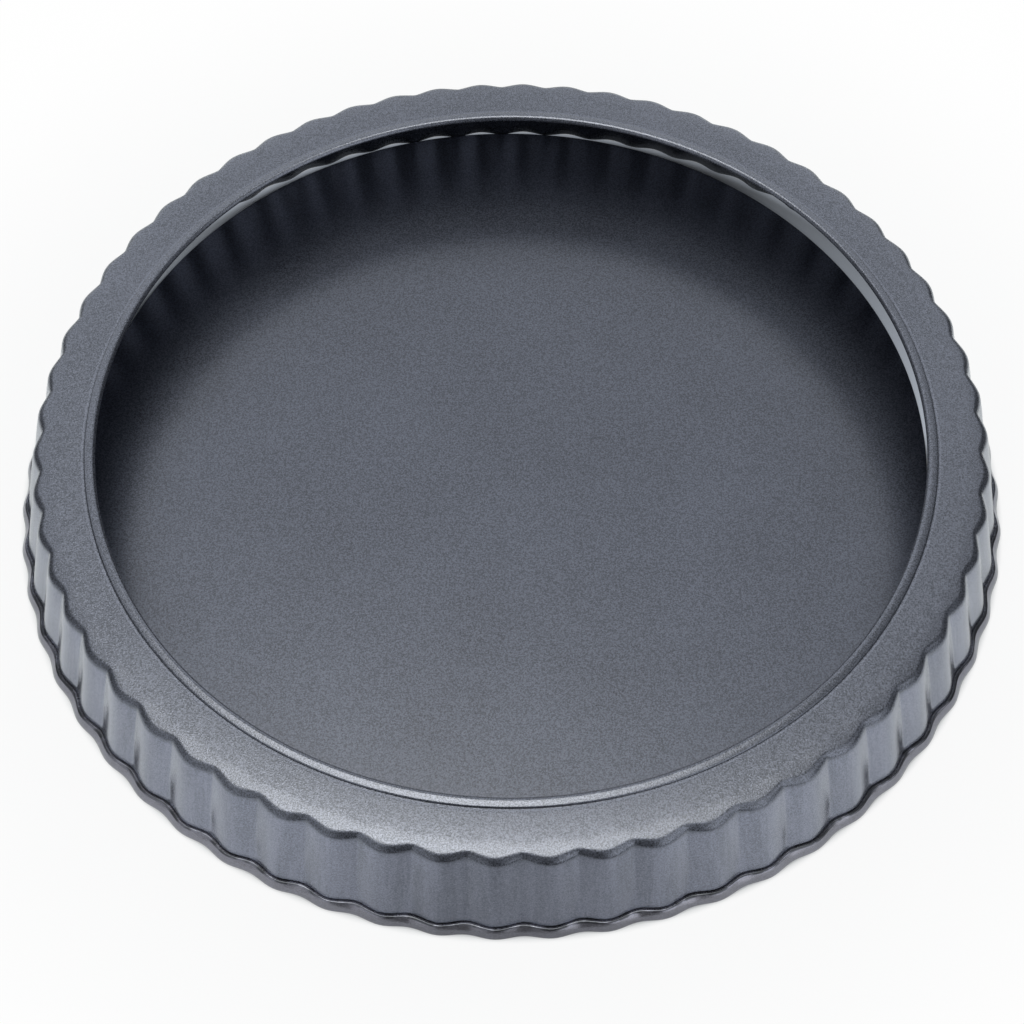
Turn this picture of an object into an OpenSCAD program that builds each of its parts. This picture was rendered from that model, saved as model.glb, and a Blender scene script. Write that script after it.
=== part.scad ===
// Loose-base fluted tart pan, standing upside down as it is photographed:
// the rim is on the table, the ledge is on top and the loose base lies inside.
// Lengths are in millimetres and angles in degrees.
// The origin is the centre of the rim at the height of the table.

/* [Overall] */
// Diameter of the rim, over the tips of the flutes
rim_d = 280; // [200:1:320]
// Height of the ring from the table to the top of the hem
height = 30; // [20:0.5:45]
// Thickness of the ring's sheet
sheet_t = 0.7; // [0.5:0.05:1.2]

/* [Flutes] */
// Number of flutes around the wall
flutes = 60; // [36:2:72]
// Depth of a flute at the head of the wall, from tip to valley
flute_head = 1.8; // [1:0.1:3]
// Depth of a flute at the foot of the wall, from tip to valley
flute_foot = 1.3; // [0.6:0.1:3]
// Turn of the ring about its axis, which places the first flute
ring_turn = -1.8; // [-3:0.1:3]

/* [Wall] */
// Angle by which the wall leans outwards from the vertical
flare = 13.6; // [5:0.1:25]
// Radius of the corner between wall and ledge at a flute's tip
corner_tip_r = 3.2; // [2.5:0.1:6]
// Radius of that corner at a flute's valley
corner_valley_r = 2.4; // [2:0.1:5]

/* [Rim bead] */
// How far the turned-up bead stands out from the wall at the table
bead_out = 1.4; // [0.8:0.1:3]
// Height of the bead above the table
bead_h = 3.2; // [2.5:0.1:5]
// How far the foot's inner edge turns outwards into the bead
bead_curl = 0.5; // [0.3:0.05:0.8]
// Depth of the bead's wave at its outer face, from tip to valley
bead_wave = 0.95; // [0.4:0.05:2]

/* [Ledge] */
// Width of the ledge, from the hole to where the wall's line meets it
ledge_w = 17; // [13:0.1:24]
// Width of the hem that is folded over the ledge's inner edge
hem_w = 3; // [2:0.1:5]

/* [Loose base] */
// How far the centred base reaches over the ledge, all round
base_lap = 7.9; // [4:0.1:10]
// Thickness of the loose base
base_t = 0.8; // [0.6:0.05:1.5]
// Gap between the base's edge and the wall where it lies nearest
base_gap = 0.15; // [0.1:0.05:1]
// Direction from the ring's axis in which the base lies off centre
base_bearing = 95.8; // [0:0.1:360]

/* [Hidden] */

ring_colour = [0.24, 0.25, 0.28];
base_colour = [0.20, 0.21, 0.24];

// Levels of the ledge
ledge_top = height - sheet_t;
ledge_under = ledge_top - sheet_t;

// Radii of the wall's outer face at the flute tips
foot_r = rim_d / 2 - bead_out;
head_r = foot_r - ledge_top * tan(flare);
hole_r = head_r - ledge_w;

// A flute's plan follows cos(half turn) to a power. The power 2 is a plain
// wave, and a lower power makes round lobes that meet in a sharper valley.
wave_power = 2;
head_power = 1.4;

// Steps around one flute, along the corner's arc and along the hem's fold
steps = 6;
corner_steps = 3;
fold_steps = 2;

// Shares of the bead's height and width that shape its foot, the share of its
// reach that its upper edge takes, and the share of its height that the curl takes
bead_foot_shares = [0.30, 0.28];
bead_top_share = 0.52;
curl_share = 0.375;
curl_h = bead_h * curl_share;

// Inner radius of the foot at a valley, on the table and where the curl ends
curl_foot_r = foot_r - flute_foot - sheet_t / cos(flare) + bead_curl;
curl_top_r = curl_foot_r - bead_curl - curl_h * tan(flare);

// Inner radius of the curl at a valley, level with the middle of the base's edge
base_reach = curl_foot_r - (curl_foot_r - curl_top_r) * base_t / 2 / curl_h;
base_r = hole_r + base_lap;
base_off = base_reach - base_r - base_gap;

// Weight of the tip section at a phase of the flute: 1 at a tip, 0 in a valley
function lobe(phase, power) = pow(abs(cos(phase / 2)), power);

// Lean of the wall at weight s, from its own foot and head radii
function foot_at(s) = foot_r - (1 - s) * flute_foot;
function head_at(s) = head_r - (1 - s) * flute_head;
function lean_at(s) = atan((foot_at(s) - head_at(s)) / ledge_top);

// Outer face of the wall at height z
function wall_at(s, z) = head_at(s) + (ledge_top - z) * tan(lean_at(s));

// Point on a corner arc of radius r: the arc starts flat on the level top
// and turns by part of the way to the wall's own slope
function corner_point(s, top, edge, r, part) =
    let (turn = (90 - lean_at(s)) * part)
    let (start = edge - r * tan((90 - lean_at(s)) / 2))
    [start + r * sin(turn), top - r + r * cos(turn)];

function corner_r(s) = corner_valley_r + s * (corner_tip_r - corner_valley_r);
function under_edge(s) =
    wall_at(s, ledge_under) - sheet_t / cos(lean_at(s));

// Point on the round fold of the hem, turning from its top to its underside
function fold_point(part) =
    [hole_r + sheet_t - sheet_t * sin(180 * part), ledge_top + sheet_t * cos(180 * part)];

// The closed section of the ring at one phase, listed from the foot of the
// hem over the corner, down the wall, round the bead, up inside and round
// the hem's fold
function section(phase) =
    let (w = lobe(phase, wave_power))
    let (s = lobe(phase, head_power))
    let (bead_r = rim_d / 2 - (1 - w) * bead_wave)
    [
        [hole_r + hem_w, ledge_top],
        for (i = [0 : corner_steps])
            corner_point(s, ledge_top, head_at(s), corner_r(s), i / corner_steps),
        [wall_at(w, bead_h), bead_h],
        [wall_at(w, bead_h) + (bead_r - wall_at(w, bead_h)) * bead_top_share, bead_h],
        [bead_r, bead_h * bead_foot_shares[0]],
        [bead_r - bead_out * bead_foot_shares[1], 0],
        [wall_at(w, 0) - sheet_t / cos(flare) + bead_curl, 0],
        [wall_at(w, curl_h) - sheet_t / cos(flare), curl_h],
        for (i = [1 : -1 : 0])
            corner_point(s, ledge_under, under_edge(s), corner_r(s) - sheet_t, i),
        for (i = [fold_steps : -1 : 0])
            fold_point(i / fold_steps),
        [hole_r + hem_w, height]
    ];

// A solid swept round the axis through the sections of all the phases
module fluted_shell() {
    around = flutes * steps;
    sections = [for (k = [0 : around - 1]) section(360 * k / steps)];
    size = len(sections[0]);
    points = [
        for (k = [0 : around - 1])
            let (a = 360 * k / around)
            for (p = sections[k])
                [p[0] * cos(a), p[0] * sin(a), p[1]]
    ];
    faces = [
        for (k = [0 : around - 1])
            let (n = (k + 1) % around)
            for (i = [0 : size - 1])
                let (j = (i + 1) % size)
                for (f = [
                    [k * size + i, n * size + j, k * size + j],
                    [k * size + i, n * size + i, n * size + j]
                ]) f
    ];
    polyhedron(points = points, faces = faces);
}

module fluted_ring() {
    color(ring_colour)
        rotate([0, 0, ring_turn])
            fluted_shell();
}

module loose_base() {
    color(base_colour)
        rotate([0, 0, base_bearing])
            translate([base_off, 0, 0])
                rotate_extrude($fn = 360) {
                    square([base_r - base_t / 2, base_t]);
                    translate([base_r - base_t / 2, base_t / 2])
                        circle(r = base_t / 2);
                }
}

fluted_ring();
loose_base();
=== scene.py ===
"""A fluted tart pan with a loose base, upside down on a pale table.

The shapes are written in millimetres, in the frame of the CAD model: the
table is z = 0 and the origin is the centre of the rim. A section is a line of
points (r, z), and r is measured from the ring's axis. Places and distances in
the materials are in metres.
"""

import math

import bpy
import numpy as np
from mathutils import Matrix, Vector


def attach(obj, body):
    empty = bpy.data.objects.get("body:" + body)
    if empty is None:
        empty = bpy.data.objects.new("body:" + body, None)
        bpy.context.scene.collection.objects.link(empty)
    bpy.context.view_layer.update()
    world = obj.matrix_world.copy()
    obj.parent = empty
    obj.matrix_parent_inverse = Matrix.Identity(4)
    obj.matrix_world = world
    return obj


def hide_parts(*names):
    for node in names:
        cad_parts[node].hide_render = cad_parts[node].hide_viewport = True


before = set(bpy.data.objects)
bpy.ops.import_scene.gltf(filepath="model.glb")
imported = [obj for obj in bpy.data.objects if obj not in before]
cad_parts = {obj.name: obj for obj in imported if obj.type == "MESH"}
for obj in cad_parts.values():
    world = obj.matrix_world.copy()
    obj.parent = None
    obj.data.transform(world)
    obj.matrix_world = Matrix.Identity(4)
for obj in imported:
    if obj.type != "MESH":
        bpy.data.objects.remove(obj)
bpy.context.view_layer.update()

MM = 0.001

# Sizes of the ring
RIM_R = 140.0
HEIGHT = 30.0
SHEET = 0.7
FLUTES = 60
FLUTE_HEAD = 1.8
FLUTE_FOOT = 1.3
RING_TURN = math.radians(-1.8)
FLARE = math.radians(13.6)
BEAD_OUT = 1.4
BEAD_H = 3.2
BEAD_CURL = 0.5
CURL_H = 1.2
BEAD_WAVE = 0.95
LEDGE_W = 17.0
HEM_W = 3.0

LEDGE_TOP = HEIGHT - SHEET
FOOT_R = RIM_R - BEAD_OUT
HEAD_R = FOOT_R - LEDGE_TOP * math.tan(FLARE)
HOLE_R = HEAD_R - LEDGE_W

# Sizes of the loose base
BASE_R = HOLE_R + 7.9
BASE_T = 0.8
BASE_OFF = 14.2548
BASE_BEARING = math.radians(95.8)

# The wave of a flute: a plain wave at the rim and at the start of the bend,
# and round lobes that meet in a crease at the head of the wall
WAVE_POWER = 2.0
HEAD_POWER = 1.15

# The corner over the flutes: where its slow dome starts and how far it tilts,
# how far the crown and the bevel tilt, where the crown starts over a tip and
# over a valley, its width, the bend's radius over both, and how far inside the
# wall's line the bend aims at its head
DOME_START = 119.0
DOME_TILT = math.radians(2.0)
CROWN_TILT = math.radians(6.6)
CROWN_TIP_START = 125.4
CROWN_VALLEY_START = 125.9
CROWN_W = 1.8
BEND_TIP_R = 2.9
BEND_VALLEY_R = 2.0
HEAD_INSET = 0.18

# A groove in each valley above the bead: its depth, its spread as the sine of
# half the phase, its middle height, and how far it fades below and above that
GROOVE = 0.30
GROOVE_SPREAD = 0.33
GROOVE_Z = 8.5
GROOVE_BELOW = 2.6
GROOVE_ABOVE = 5.0

# The hem's crest, as points (distance from the hole's edge, drop from the top)
CREST = ((1.08, 0.0), (1.2, 0.006), (1.33, 0.021), (1.5, 0.048))

# The hem's flap: its tilt, the tilt and radius of its round edge, and the step
# to the ledge, as points (distance from the flap's edge, drop from the ledge)
FLAP_TILT = math.radians(9.0)
FLAP_END = math.radians(100.0)
FLAP_ROUND = 0.45
FLAP_STEP = ((-0.12, 0.02), (0.1, 0.03), (0.6, 0.0))

# The hem's fold from the underside to the crest, as points like the crest's
FOLD = (
    (0.70, 1.38), (0.20, 1.30), (0.01, 1.10), (0.0, 0.92), (0.03, 0.74), (0.14, 0.58), (0.28, 0.435),
    (0.41, 0.30), (0.52, 0.21), (0.64, 0.14), (0.77, 0.085), (0.88, 0.045), (0.98, 0.02),
)

# The turned-up bead: the slit behind it, its cut edge as points (distance from
# the slit, drop from the bead's top), its face as points (drop from the top,
# share of the way out) and the radius of its foot
SLIT_W = 0.32
SLIT_DEPTH = 0.5
CUT_EDGE = ((0.0, 0.14), (0.12, 0.02), (0.26, 0.0))
BEAD_FACE = ((0.05, 0.12), (0.18, 0.26), (0.45, 0.38), (0.9, 0.56), (1.6, 0.82), (2.35, 1.0))
FOOT_ROUND = 0.85

# The foot's inner edge, as points (share of the curl's height, share of its
# reach), and how much less it curls at the tips
CURL = ((0.0, 0.72), (0.3, 0.62), (0.65, 0.34), (1.0, 0.0))
CURL_LESS = 0.3

# Heights of the section's points down the wall's outside and up its inside
WALL_OUT = (22.0, 16.0, 12.5, 9.5, 7.0, 5.4, 4.3)
WALL_IN = (5.0, 9.0, 15.0)

# Sections to a flute, and how much closer they stand in the valleys
STEPS = 20
CROWDING = 0.6

# Steps along the bend outside and inside, the rounds of flap and foot, and the
# base's round edge
BEND_STEPS = 8
BEND_STEPS_INSIDE = 5
ROUND_STEPS = 4
BASE_EDGE_STEPS = 8

# Points round the loose base, rings on its top, and the power that spaces them
BASE_AROUND = 540
BASE_RINGS = 29
BASE_SPACING = 0.8

# Where the ring's coating changes, as pairs between which a smooth step runs.
# They are heights above the table or, for the painted highlight along the
# hem's lip, distances from the axis, in metres.
# Below the first of these heights the outer wall takes a lighter copy of the coating, which is painted
# light
DRAWN_AND_LIT_Z = (0.0281, 0.0259)
BEAD_Z = (0.0034, 0.0028)
EDGE_Z = (0.00306, 0.00314)
NICK_Z = (0.00282, 0.003)
OVER_EDGE_Z = (0.0036, 0.0034)
LIP_HIGHLIGHT_FROM_R = (0.11775, 0.1179)
LIP_HIGHLIGHT_TO_R = (0.1184, 0.1182)

# Colours of the coatings
BASE_DARK = (0.037, 0.042, 0.061, 1.0)
BASE_LIGHT = (0.128, 0.145, 0.202, 1.0)
RING_DARK = (0.058, 0.066, 0.088, 1.0)
RING_LIGHT = (0.190, 0.206, 0.266, 1.0)
# A lighter copy of the ring's colours for its outer wall: painted light
LIT_WALL_DARK = (0.156, 0.171, 0.224, 1.0)
LIT_WALL_LIGHT = (0.346, 0.363, 0.466, 1.0)
BEAD_COLOUR = (0.27, 0.25, 0.272, 1.0)
CUT_COLOUR = (0.03, 0.032, 0.04, 1.0)
NICK_COLOUR = (0.05, 0.054, 0.06, 1.0)

# Colours of the table and the light
BLACK = (0.0, 0.0, 0.0, 1.0)
WHITE = (1.0, 1.0, 1.0, 1.0)
PAPER_COLOUR = (0.94, 0.97, 1.0, 1.0)
UNDER_RIM_COLOUR = (0.80, 0.88, 1.0, 1.0)
ROOM_COLOUR = (0.95, 0.98, 1.0, 1.0)
LAMP_COLOUR = (1.0, 0.99, 0.915, 1.0)

# Half the side of the floor
FLOOR_HALF = 4000.0

# The lamp overhead: the direction to it, and the angles from there at which
# its light, and then the skirt of light round it, are full and are gone
LAMP_DIRECTION = (-0.09, 0.078, 0.993)
LAMP_FULL, LAMP_GONE = math.radians(7.0), math.radians(25.5)
SKIRT_FULL, SKIRT_GONE = math.radians(20.0), math.radians(42.0)
LAMP_STRENGTH = 3.72

# The camera that was fitted to the photograph: its place in metres, its lens
# in millimetres, how far it looks down and how far it is rolled
CAMERA_PLACE = (0.0002, -0.3249, 0.4742)
CAMERA_LENS = 69.89
CAMERA_DOWN = math.radians(56.52)
CAMERA_ROLL = math.radians(-0.14)


def arc(n):
    """Returns n + 1 even shares from 0 to 1."""
    return np.linspace(0.0, 1.0, n + 1)


def lobe(phase, power):
    """Weight of a flute's tip: |cos(phase / 2)| to a power, 1 at a tip and 0 in a valley."""
    return np.abs(np.cos(phase / 2.0)) ** power


def bend(start_r, start_z, radius, first, last, n):
    """Points on an arc that starts at (start_r, start_z).

    At tilt t the outward normal is (sin t, cos t), and the arc's point is its
    centre plus radius times that normal, as t goes from first to last.
    """
    centre_r = start_r - radius * np.sin(first)
    centre_z = start_z - radius * np.cos(first)
    return [
        (centre_r + radius * np.sin(t), centre_z + radius * np.cos(t))
        for t in (first + (last - first) * u for u in arc(n))
    ]


def ring_section(phase):
    """The ring's closed section at each phase, as an array (phases, points, 2).

    It runs from the hem's crest over its flap and round the flap's edge, over
    the ledge's dome, crown and bevel and round the bend, down the wall into
    the slit behind the turned-up bead, over the bead's cut edge and down its
    face, round the foot, up inside and round the hem's fold. Tip and valley
    each have a straight wall, and a weight from the flute's wave runs between
    them.
    """
    foot_w = lobe(phase, WAVE_POWER)
    head_w = lobe(phase, HEAD_POWER)
    foot = FOOT_R - (1.0 - foot_w) * FLUTE_FOOT
    head = HEAD_R - (1.0 - head_w) * FLUTE_HEAD
    lean = np.arctan((foot - head) / LEDGE_TOP)
    off_valley = np.sin((phase - math.pi) / 2.0)
    groove = GROOVE * np.exp(-((off_valley / GROOVE_SPREAD) ** 2))

    def wall(z):
        """The straight wall less its groove, which fades above and below GROOVE_Z."""
        fade = GROOVE_BELOW if z < GROOVE_Z else GROOVE_ABOVE
        reach = np.exp(-(((z - GROOVE_Z) / fade) ** 2))
        return head + (LEDGE_TOP - z) * (foot - head) / LEDGE_TOP - groove * reach

    def corner(weight, inset, n):
        """The ledge's slow dome, its crown, a straight bevel and the bend to the wall.

        The bend's centre lies its radius inside both the bevel's line and the
        wall's line, which are moved inwards by inset.
        """
        top = HEAD_R - HEAD_INSET - (1.0 - weight) * FLUTE_HEAD
        fall = np.arctan((foot - top) / LEDGE_TOP)
        steep = math.pi / 2.0 - fall
        radius = BEND_VALLEY_R + weight * (BEND_TIP_R - BEND_VALLEY_R) - inset
        crown_r = CROWN_VALLEY_START + weight * (CROWN_TIP_START - CROWN_VALLEY_START)
        dome_w = crown_r - DOME_START
        points = [
            (DOME_START + dome_w * u, LEDGE_TOP - inset - dome_w * u * u * DOME_TILT / 2.0)
            for u in (0.0, 0.5, 1.0)
        ]
        crown_z = LEDGE_TOP - inset - dome_w * DOME_TILT / 2.0
        turn = CROWN_TILT - DOME_TILT
        points += [
            (crown_r + CROWN_W * u, crown_z - CROWN_W * (u * DOME_TILT + u * u * turn / 2.0))
            for u in (0.33, 0.67, 1.0)
        ]
        bevel = (math.sin(CROWN_TILT), math.cos(CROWN_TILT))
        face = (np.sin(steep), np.cos(steep))
        to_bevel = points[-1][0] * bevel[0] + points[-1][1] * bevel[1] - radius
        to_wall = top * face[0] + LEDGE_TOP * face[1] - inset - radius
        cross = bevel[0] * face[1] - bevel[1] * face[0]
        centre_r = (to_bevel * face[1] - to_wall * bevel[1]) / cross
        centre_z = (to_wall * bevel[0] - to_bevel * face[0]) / cross
        first_r = centre_r + radius * bevel[0]
        first_z = centre_z + radius * bevel[1]
        return points + bend(first_r, first_z, radius, CROWN_TILT, steep, n)

    def blended_corner(inset, n):
        """The corner with a plain wave where it starts and the wall's own lobes where it ends."""
        plain = corner(lobe(phase, WAVE_POWER), inset, n)
        lobed = corner(head_w, inset, n)
        last = len(plain) - 1
        return [
            tuple(p + (q - p) * (i / last) ** 2 for p, q in zip(plain[i], lobed[i]))
            for i in range(last + 1)
        ]

    # The hem's crest, its flap that leans outwards, and the step down to the ledge
    flap_r = HOLE_R + HEM_W
    crest_end, crest_drop = CREST[-1]
    edge_top = HEIGHT - crest_drop - (HEM_W - FLAP_ROUND - crest_end) * math.tan(FLAP_TILT)
    points = [(HOLE_R + r, HEIGHT - drop) for r, drop in CREST]
    points += [
        (flap_r - FLAP_ROUND + FLAP_ROUND * math.sin(t), edge_top - FLAP_ROUND + FLAP_ROUND * math.cos(t))
        for t in np.linspace(FLAP_TILT, FLAP_END, ROUND_STEPS + 1)
    ]
    points += [(flap_r + r, LEDGE_TOP - drop) for r, drop in FLAP_STEP]
    points += blended_corner(0.0, BEND_STEPS)

    # Down the wall and into the slit behind the bead
    points += [(wall(z), z) for z in WALL_OUT]
    slit_z = BEAD_H - SLIT_DEPTH
    points += [(wall(slit_z + 0.2), slit_z + 0.2), (wall(slit_z) + 0.1, slit_z)]
    points += [(wall(slit_z) + SLIT_W, slit_z + 0.1)]

    # Over the cut edge, down the bead's face, which stands nearly upright, and under
    bead_r = RIM_R - (1.0 - foot_w) * BEAD_WAVE
    edge = wall(BEAD_H) + SLIT_W
    points += [(edge + r, BEAD_H - drop) for r, drop in CUT_EDGE]
    top_r = edge + CUT_EDGE[-1][0]
    points += [(top_r + (bead_r - top_r) * share, BEAD_H - drop) for drop, share in BEAD_FACE]
    points += [
        (bead_r - FOOT_ROUND + FOOT_ROUND * math.cos(t), FOOT_ROUND - FOOT_ROUND * math.sin(t))
        for t in np.linspace(0.0, math.pi / 2.0, ROUND_STEPS + 1)[1:]
    ]

    # The foot's inner edge turns outwards, most of all in the valleys, and the
    # sheet goes up inside
    curl = BEAD_CURL * (1.0 - CURL_LESS * foot_w)
    points += [
        (wall(CURL_H * u) - SHEET / np.cos(lean) + curl * share, CURL_H * u)
        for u, share in CURL
    ]
    points += [(wall(z) - SHEET / np.cos(lean), z) for z in WALL_IN]
    points += blended_corner(SHEET, BEND_STEPS_INSIDE)[::-1]

    # Round the hem's fold, from the underside to the crest
    points += [(HOLE_R + r, HEIGHT - drop) for r, drop in FOLD]
    one = np.ones_like(phase)
    return np.stack([np.stack([one * r, one * z], axis=-1) for r, z in points], axis=1)


def new_piece(name, points, faces):
    """Makes a smooth mesh from points in millimetres and a list of faces."""
    mesh = bpy.data.meshes.new(name)
    mesh.from_pydata((points * MM).tolist(), [], faces)
    mesh.polygons.foreach_set("use_smooth", np.ones(len(mesh.polygons), dtype=bool))
    mesh.update()
    piece = bpy.data.objects.new(name, mesh)
    bpy.context.scene.collection.objects.link(piece)
    return piece


def make_ring():
    """The fluted ring: its closed section carried once round the axis.

    Along a flute the sections stand at u + c sin(2 pi u) / 2 pi of its pitch,
    so they are close together in the valley, which is at u = 1/2.
    """
    around = FLUTES * STEPS
    u = np.arange(around) / STEPS
    angle = (u + CROWDING * np.sin(2.0 * math.pi * u) / (2.0 * math.pi)) * 2.0 * math.pi / FLUTES
    section = ring_section(angle * FLUTES)
    turn = (angle + RING_TURN)[:, None]
    r, z = section[..., 0], section[..., 1]
    points = np.stack([r * np.cos(turn), r * np.sin(turn), z], axis=-1).reshape(-1, 3)
    size = section.shape[1]
    k = np.arange(around)[:, None]
    i = np.arange(size)[None, :]
    n, j = (k + 1) % around, (i + 1) % size
    faces = np.stack([k * size + i, k * size + j, n * size + j, n * size + i], axis=-1).reshape(-1, 4)
    return new_piece("pan_ring", points, faces.tolist())


def make_base():
    """The loose base: a disc with a round edge, as rings of points round its centre.

    Its section runs from the centre of the top face over the half-round edge
    to the centre of the underside, which has every fourth of the top's rings.
    """
    around = BASE_AROUND
    flat = arc(BASE_RINGS)[1:] ** BASE_SPACING * (BASE_R - BASE_T)
    under = flat[::-4]
    half = BASE_T / 2.0
    turn = arc(BASE_EDGE_STEPS) * math.pi
    section = np.concatenate([
        np.stack([flat, np.full_like(flat, BASE_T)], axis=-1),
        np.stack([BASE_R - half + half * np.sin(turn), half + half * np.cos(turn)], axis=-1),
        np.stack([under, np.zeros_like(under)], axis=-1),
    ])
    angle = np.arange(around) * 2.0 * math.pi / around
    centre = np.array([math.cos(BASE_BEARING), math.sin(BASE_BEARING)]) * BASE_OFF
    size = len(section)
    points = np.zeros((around, size, 3))
    points[..., 0] = centre[0] + np.cos(angle)[:, None] * section[:, 0]
    points[..., 1] = centre[1] + np.sin(angle)[:, None] * section[:, 0]
    points[..., 2] = section[:, 1]
    points = np.concatenate([points.reshape(-1, 3), [[*centre, BASE_T], [*centre, 0.0]]])
    k = np.arange(around)
    n = (k + 1) % around
    i = np.arange(size - 1)[None, :]
    a, b = k[:, None] * size, n[:, None] * size
    quads = np.stack([a + i, a + i + 1, b + i + 1, b + i], axis=-1).reshape(-1, 4)
    top, bottom = around * size, around * size + 1
    fans = [[top, p * size, q * size] for p, q in zip(k.tolist(), n.tolist())]
    fans += [[bottom, q * size + size - 1, p * size + size - 1] for p, q in zip(k.tolist(), n.tolist())]
    return new_piece("pan_base", points, quads.tolist() + fans)


class Value:
    """A number's socket: +, - and * on it add Math nodes."""

    def __init__(self, graph, socket):
        self.graph = graph
        self.socket = socket

    def _maths(self, operation, first, second):
        return self.graph.node("ShaderNodeMath", {"operation": operation}, {0: first, 1: second})

    def __add__(self, other):
        return self._maths("ADD", self, other)

    def __radd__(self, other):
        return self._maths("ADD", other, self)

    def __sub__(self, other):
        return self._maths("SUBTRACT", self, other)

    def __rsub__(self, other):
        return self._maths("SUBTRACT", other, self)

    def __mul__(self, other):
        return self._maths("MULTIPLY", self, other)


class Graph:
    """The nodes of one material or of the world."""

    def __init__(self, owner):
        owner.use_nodes = True
        self.tree = owner.node_tree
        self.tree.nodes.clear()

    def node(self, kind, settings=None, inputs=None, out=0):
        """Adds a node: its settings first, then its sockets; returns one output."""
        made = self.tree.nodes.new(kind)
        for key, value in (settings or {}).items():
            setattr(made, key, value)
        for key, value in (inputs or {}).items():
            if isinstance(value, Value):
                self.tree.links.new(value.socket, made.inputs[key])
            else:
                made.inputs[key].default_value = value
        return Value(self, made.outputs[out]) if len(made.outputs) else made

    def step(self, value, low, high, to_low=0.0, to_high=1.0):
        """Maps value from low..high to to_low..to_high along a smooth step.

        With t the share of the way from low to high, kept within 0 and 1, the
        result lies 3 t^2 - 2 t^3 of the way from to_low to to_high. Low may be
        the larger of the two, and then the result changes as value falls.
        """
        return self.node(
            "ShaderNodeMapRange", {"interpolation_type": "SMOOTHSTEP"},
            {0: value, 1: low, 2: high, 3: to_low, 4: to_high},
        )

    def mix(self, factor, first, second):
        """Mixes two colours: the first at factor 0, the second at factor 1."""
        return self.node("ShaderNodeMix", {"data_type": "RGBA"}, {0: factor, 6: first, 7: second}, out=2)

    def noise(self, where, scale, detail):
        """Noise round a mean of about a half, with detail as the number of finer layers."""
        return self.node("ShaderNodeTexNoise", None, {"Vector": where, "Scale": scale, "Detail": detail})

    def axis(self, vector, name):
        """The part of a vector along X, Y or Z."""
        return self.node("ShaderNodeSeparateXYZ", None, {0: vector}, out=name)

    def size(self, value):
        """A number without its sign."""
        return self.node("ShaderNodeMath", {"operation": "ABSOLUTE"}, {0: value})

    def vector(self, operation, first, second=None, out=0):
        """A Vector Math node; LENGTH and DOT_PRODUCT give their number with out="Value"."""
        inputs = {0: first} if second is None else {0: first, 1: second}
        return self.node("ShaderNodeVectorMath", {"operation": operation}, inputs, out)


def satin_grain(graph, where, rough, speck, fine):
    """The coating's fine metallic grain: returns its specks, tone, roughness and relief.

    Two noises on Object coordinates in metres, the second 1.75 times as fine,
    make specks of about half a millimetre. The tone, which mixes a coating's
    two colours, is a half plus speck times the specks' distance from a half
    and a little of a broad mottle. The roughness moves slightly with grain and
    mottle, and the relief is the two noises together.
    """
    grain = graph.noise(where, fine, 1.0)
    flake = graph.noise(where, fine * 1.75, 0.0)
    mottle = graph.noise(where, 26.0, 3.0)
    specks = graph.step(grain, 0.3, 0.7) * 0.6 + graph.step(flake, 0.35, 0.75) * 0.4
    tone = (specks - 0.5) * speck + (mottle - 0.5) * 0.3 + 0.5
    satin = rough + (mottle - 0.5) * 0.08 + (grain - 0.5) * 0.10
    relief = grain * 0.6 + flake * 0.6
    return specks, tone, satin, relief


def coat(graph, skin, metallic, satin, relief, glaze):
    """Ends a coating: a metallic base with a bump from the relief, under a clear coat."""
    surface = graph.node("ShaderNodeBump", None, {"Strength": 0.8, "Distance": 0.00006, "Height": relief})
    shader = graph.node("ShaderNodeBsdfPrincipled", None, {
        "Base Color": skin,
        "Metallic": metallic,
        "Roughness": satin,
        "Normal": surface,
        "Coat Weight": glaze,
        "Coat Roughness": 0.24,
        "Coat IOR": 1.6,
    })
    graph.node("ShaderNodeOutputMaterial", None, {"Surface": shader})


def base_coating():
    """The loose base's dark satin coating, with an even grain."""
    material = bpy.data.materials.new("base_coating")
    graph = Graph(material)
    where = graph.node("ShaderNodeTexCoord", out="Object")
    tone, satin, relief = satin_grain(graph, where, rough=0.31, speck=0.95, fine=2050.0)[1:]
    coat(graph, graph.mix(tone, BASE_DARK, BASE_LIGHT), 0.72, satin, relief, 1.0)
    return material


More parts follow.
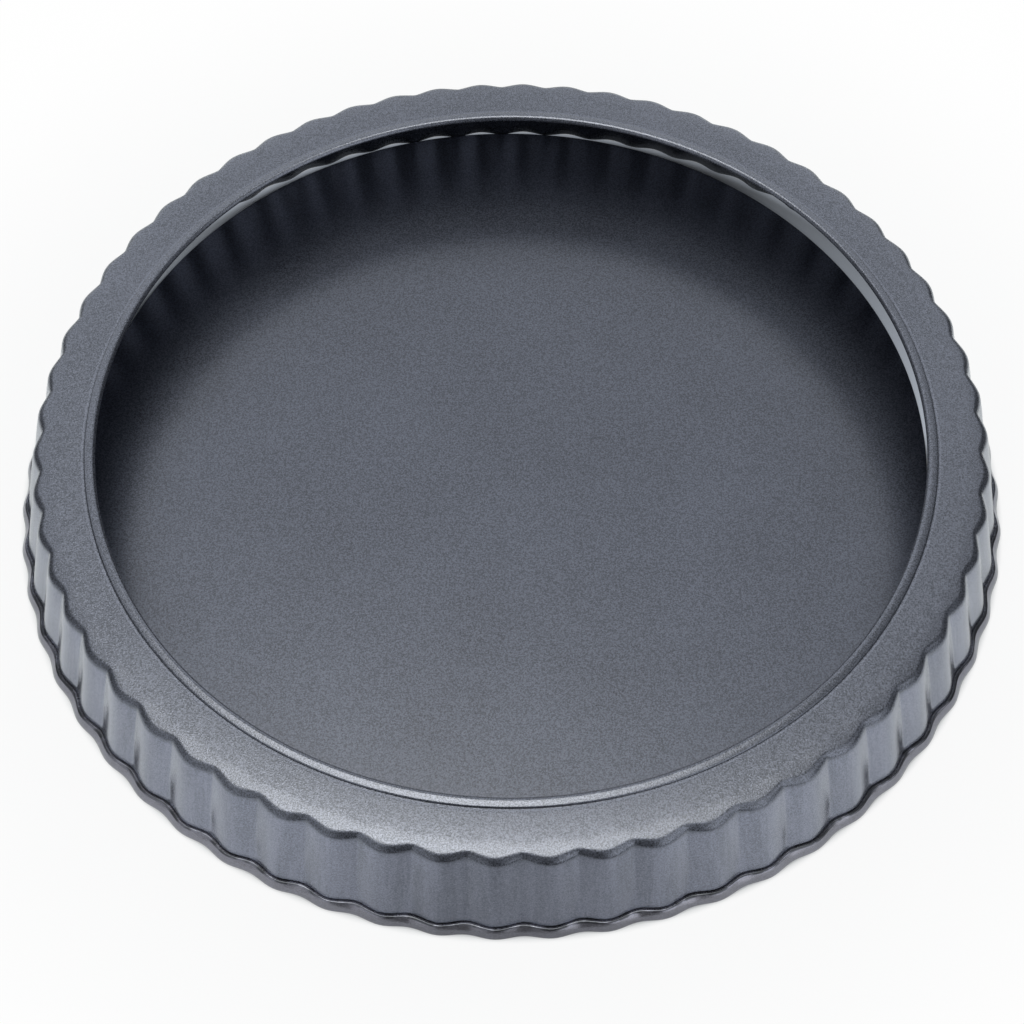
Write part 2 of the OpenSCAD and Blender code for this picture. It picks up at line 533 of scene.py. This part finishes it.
def ring_coating():
    """The ring's satin coating: grained above, drawn out below the ledge and worn on the bead.

    The ledge has the base's grain with stronger specks, and a painted
    highlight runs along the hem's lip as a thin lighter ring. Below the ledge,
    on faces that look away from the axis, a lighter skin with less relief takes
    over; its lighter colour is painted light on the outer wall. It has fine and
    broad upright streaks, which are noises on the direction from the axis with
    little of the height in them. The bead is warmer, its cut edge is dark where
    it isn't worn, and nicks break the clear coat along that edge.
    """
    material = bpy.data.materials.new("ring_coating")
    graph = Graph(material)
    where = graph.node("ShaderNodeTexCoord", out="Object")
    specks, tone, satin, relief = satin_grain(graph, where, rough=0.28, speck=1.2, fine=2380.0)

    level = graph.node("ShaderNodeMapping", None, {"Vector": where, "Scale": (1.0, 1.0, 0.0)})
    far = graph.vector("LENGTH", level, out="Value")
    # A painted highlight: a thin lighter ring of colour along the hem's lip
    lip_highlight = graph.step(far, *LIP_HIGHLIGHT_FROM_R) * graph.step(far, *LIP_HIGHLIGHT_TO_R)
    skin = graph.mix(tone + lip_highlight * 0.4, RING_DARK, RING_LIGHT)

    up = graph.axis(where, "Z")
    normal = graph.node("ShaderNodeTexCoord", out="Normal")
    outward = graph.vector("NORMALIZE", level)
    facing = graph.vector("DOT_PRODUCT", outward, normal, out="Value")
    drawn_and_lit = graph.step(up, *DRAWN_AND_LIT_Z) * graph.step(facing, -0.1, 0.1)
    height = graph.node("ShaderNodeMapping", None, {"Vector": where, "Scale": (0.0, 0.0, 0.7)})
    upright = graph.vector("ADD", outward, height)
    streak = graph.step(graph.noise(upright, 150.0, 1.0), 0.3, 0.7)
    draw = graph.step(graph.noise(upright, 34.0, 1.0), 0.3, 0.7)
    calm = streak * 0.2 + draw * 0.32 + specks * 1.1 - 0.22
    # Painted light: the outer wall below the ledge takes the lighter wall colours; the streaks and specks
    # in them are grain
    skin = graph.mix(drawn_and_lit, skin, graph.mix(calm, LIT_WALL_DARK, LIT_WALL_LIGHT))

    wear = graph.step(graph.noise(where, 260.0, 3.0), 0.42, 0.62)
    below = graph.step(up, *OVER_EDGE_Z)
    edge = graph.step(up, *EDGE_Z) * below * drawn_and_lit
    nick = graph.step(graph.noise(where, 190.0, 2.0), 0.45, 0.56) * graph.step(up, *NICK_Z) * below
    skin = graph.mix(graph.step(up, *BEAD_Z) * drawn_and_lit * 0.6, skin, BEAD_COLOUR)
    skin = graph.mix(edge * (0.92 - wear * 0.35), skin, CUT_COLOUR)
    skin = graph.mix(nick * 0.75, skin, NICK_COLOUR)
    glaze = (1.0 - edge * (0.7 - wear * 0.4)) * (1.0 - nick * 0.75)
    coat(graph, skin, 0.88, satin - drawn_and_lit * 0.10, relief * (1.0 - drawn_and_lit * 0.7), glaze)
    return material


def pale_floor():
    """The table's pale paper, which the camera and the pan see differently.

    With (x, y) a place on it and far its distance from the origin, the pan
    sees paper that is lightest to the left and right, darker in a strip through
    the middle, which is painted shade for the pan's own shadow on the table,
    and dark far out to the sides and beyond the table's near edge. The camera
    sees paper of an even tone with the pan's shadow on it, which gives way to
    plain white outside the rim. A share of that white is painted light: it
    stands for the light that comes in under the rim, and for the two wedges
    that show between the base and the wall: the right one fades as y grows,
    and the left one is faint.
    """
    material = bpy.data.materials.new("pale_floor")
    graph = Graph(material)
    where = graph.node("ShaderNodeTexCoord", out="Object")
    seen = graph.node("ShaderNodeLightPath", out="Is Camera Ray")
    far = graph.vector("LENGTH", where, out="Value")
    x, y = graph.axis(where, "X"), graph.axis(where, "Y")
    across = graph.size(x)

    aside = graph.step(across, 0.27, 0.29) * graph.step(y, -0.15, 0.0)
    ahead = graph.step(y, -0.155, -0.29) * graph.step(across, 0.28, 0.12)
    # Painted shade: what the pan sees of the table is darker in a strip through the middle, for its own
    # shadow
    table_and_shade = (graph.step(across, 0.0, 0.085) * 0.35 + 0.52) * (1.0 - aside) * (1.0 - ahead)
    tone = table_and_shade * (1.0 - seen) + (graph.noise(where, 3.0, 2.0) * 0.02 + 0.8) * seen
    paper = graph.node("ShaderNodeBsdfPrincipled", None, {
        "Base Color": graph.mix(tone, BLACK, PAPER_COLOUR),
        "Roughness": 0.9,
    })

    glow = graph.mix(graph.step(far, 0.1372, 0.139), UNDER_RIM_COLOUR, WHITE)
    white = graph.node("ShaderNodeEmission", None, {"Color": glow, "Strength": 1.0})
    foot = graph.step(far, 0.1350, 0.1382) * graph.step(x, 0.07, 0.0, 0.16, 0.30)
    right = graph.step(x, 0.06, 0.09) * graph.step(far, 0.1205, 0.1225) * graph.step(y, -0.01, 0.02)
    left = graph.step(x, -0.075, -0.11) * graph.step(far, 0.1305, 0.1325)
    under = foot + right * (0.45 - y * 3.7) + left * 0.11
    outside = graph.step(far, 0.1385, 0.1410) * (0.88 - under) + graph.step(far, 0.14, 0.24) * 0.11
    shown = graph.node("ShaderNodeMixShader", None, {0: seen * (under + outside), 1: paper, 2: white})
    graph.node("ShaderNodeOutputMaterial", None, {"Surface": shown})
    return material


def make_floor():
    """A wide flat floor at the height of the table, as stage."""
    corners = [[-1.0, -1.0, 0.0], [1.0, -1.0, 0.0], [1.0, 1.0, 0.0], [-1.0, 1.0, 0.0]]
    floor = new_piece("floor", np.array(corners) * FLOOR_HALF, [[0, 1, 2, 3]])
    floor.data.materials.append(pale_floor())


def light_the_world():
    """Soft light by direction, which the camera itself sees as plain white.

    With (x, y, z) the direction, a lamp stands overhead, with a skirt of weak
    light round it on the camera's side. Behind the pan a sweep of light fades
    towards the sides and the zenith, and is slightly weaker in the middle. On
    the camera's side there is a light to the left and one to the right, the
    left at half strength and weaker still far out. A faint light from the far
    left and an even grey fill in the rest.
    """
    world = bpy.data.worlds.new("studio")
    bpy.context.scene.world = world
    graph = Graph(world)
    where = graph.node("ShaderNodeTexCoord", out="Generated")
    x, y, z = (graph.axis(where, name) for name in "XYZ")
    aside = graph.size(x)
    lean = graph.vector("DOT_PRODUCT", where, LAMP_DIRECTION, out="Value")
    box = graph.step(lean, math.cos(LAMP_GONE), math.cos(LAMP_FULL), 0.0, LAMP_STRENGTH)
    skirt = graph.step(lean, math.cos(SKIRT_GONE), math.cos(SKIRT_FULL)) * graph.step(y, 0.0, -0.3) * 0.4
    sweep = graph.step(y, 0.0, 0.5) * graph.step(graph.size(x + 0.08), 0.75, 0.45)
    sweep = sweep * graph.step(z, 1.0, 0.7) * graph.step(aside, 0.04, 0.25, 0.7, 0.8)
    ahead = graph.step(aside, 0.18, 0.5) * graph.step(x, 1.0, 0.7) * graph.step(y, 0.1, -0.25)
    ahead = ahead * graph.step(x, -0.9, -0.5, 0.5, 1.0) * graph.step(x, -0.2, 0.2, 0.5, 1.0)
    left = graph.step(x, -0.3, -0.8) * 0.06
    camera = graph.node("ShaderNodeLightPath", out="Is Camera Ray")
    hidden = 1.0 - camera
    room = graph.node("ShaderNodeBackground", None, {
        "Color": graph.mix(camera, ROOM_COLOUR, WHITE),
        "Strength": (sweep + skirt + ahead + left + 0.12) * hidden + camera,
    })
    lamp = graph.node("ShaderNodeBackground", None, {"Color": LAMP_COLOUR, "Strength": box * hidden})
    both = graph.node("ShaderNodeAddShader", None, {0: room, 1: lamp})
    graph.node("ShaderNodeOutputWorld", None, {"Surface": both})


def place_camera():
    """The photograph's view: 56.5 degrees above the table, a long lens, hardly turned."""
    data = bpy.data.cameras.new("camera")
    data.sensor_width = 36.0
    data.lens = CAMERA_LENS
    camera = bpy.data.objects.new("camera", data)
    bpy.context.scene.collection.objects.link(camera)
    down, roll = CAMERA_DOWN, CAMERA_ROLL
    ahead = Vector((0.0, math.cos(down), -math.sin(down)))
    right = Vector((math.cos(roll), math.sin(roll) * math.sin(down), math.sin(roll) * math.cos(down)))
    up = right.cross(ahead)
    turn = Matrix((right, up, -ahead)).transposed()
    camera.matrix_world = Matrix.Translation(Vector(CAMERA_PLACE)) @ turn.to_4x4()
    bpy.context.scene.camera = camera


bpy.context.scene.view_settings.view_transform = "Standard"
place_camera()
light_the_world()
make_floor()

ring = make_ring()
ring.data.materials.append(ring_coating())
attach(ring, "ring")
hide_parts("fluted_ring")

base = make_base()
base.data.materials.append(base_coating())
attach(base, "base")
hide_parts("loose_base")
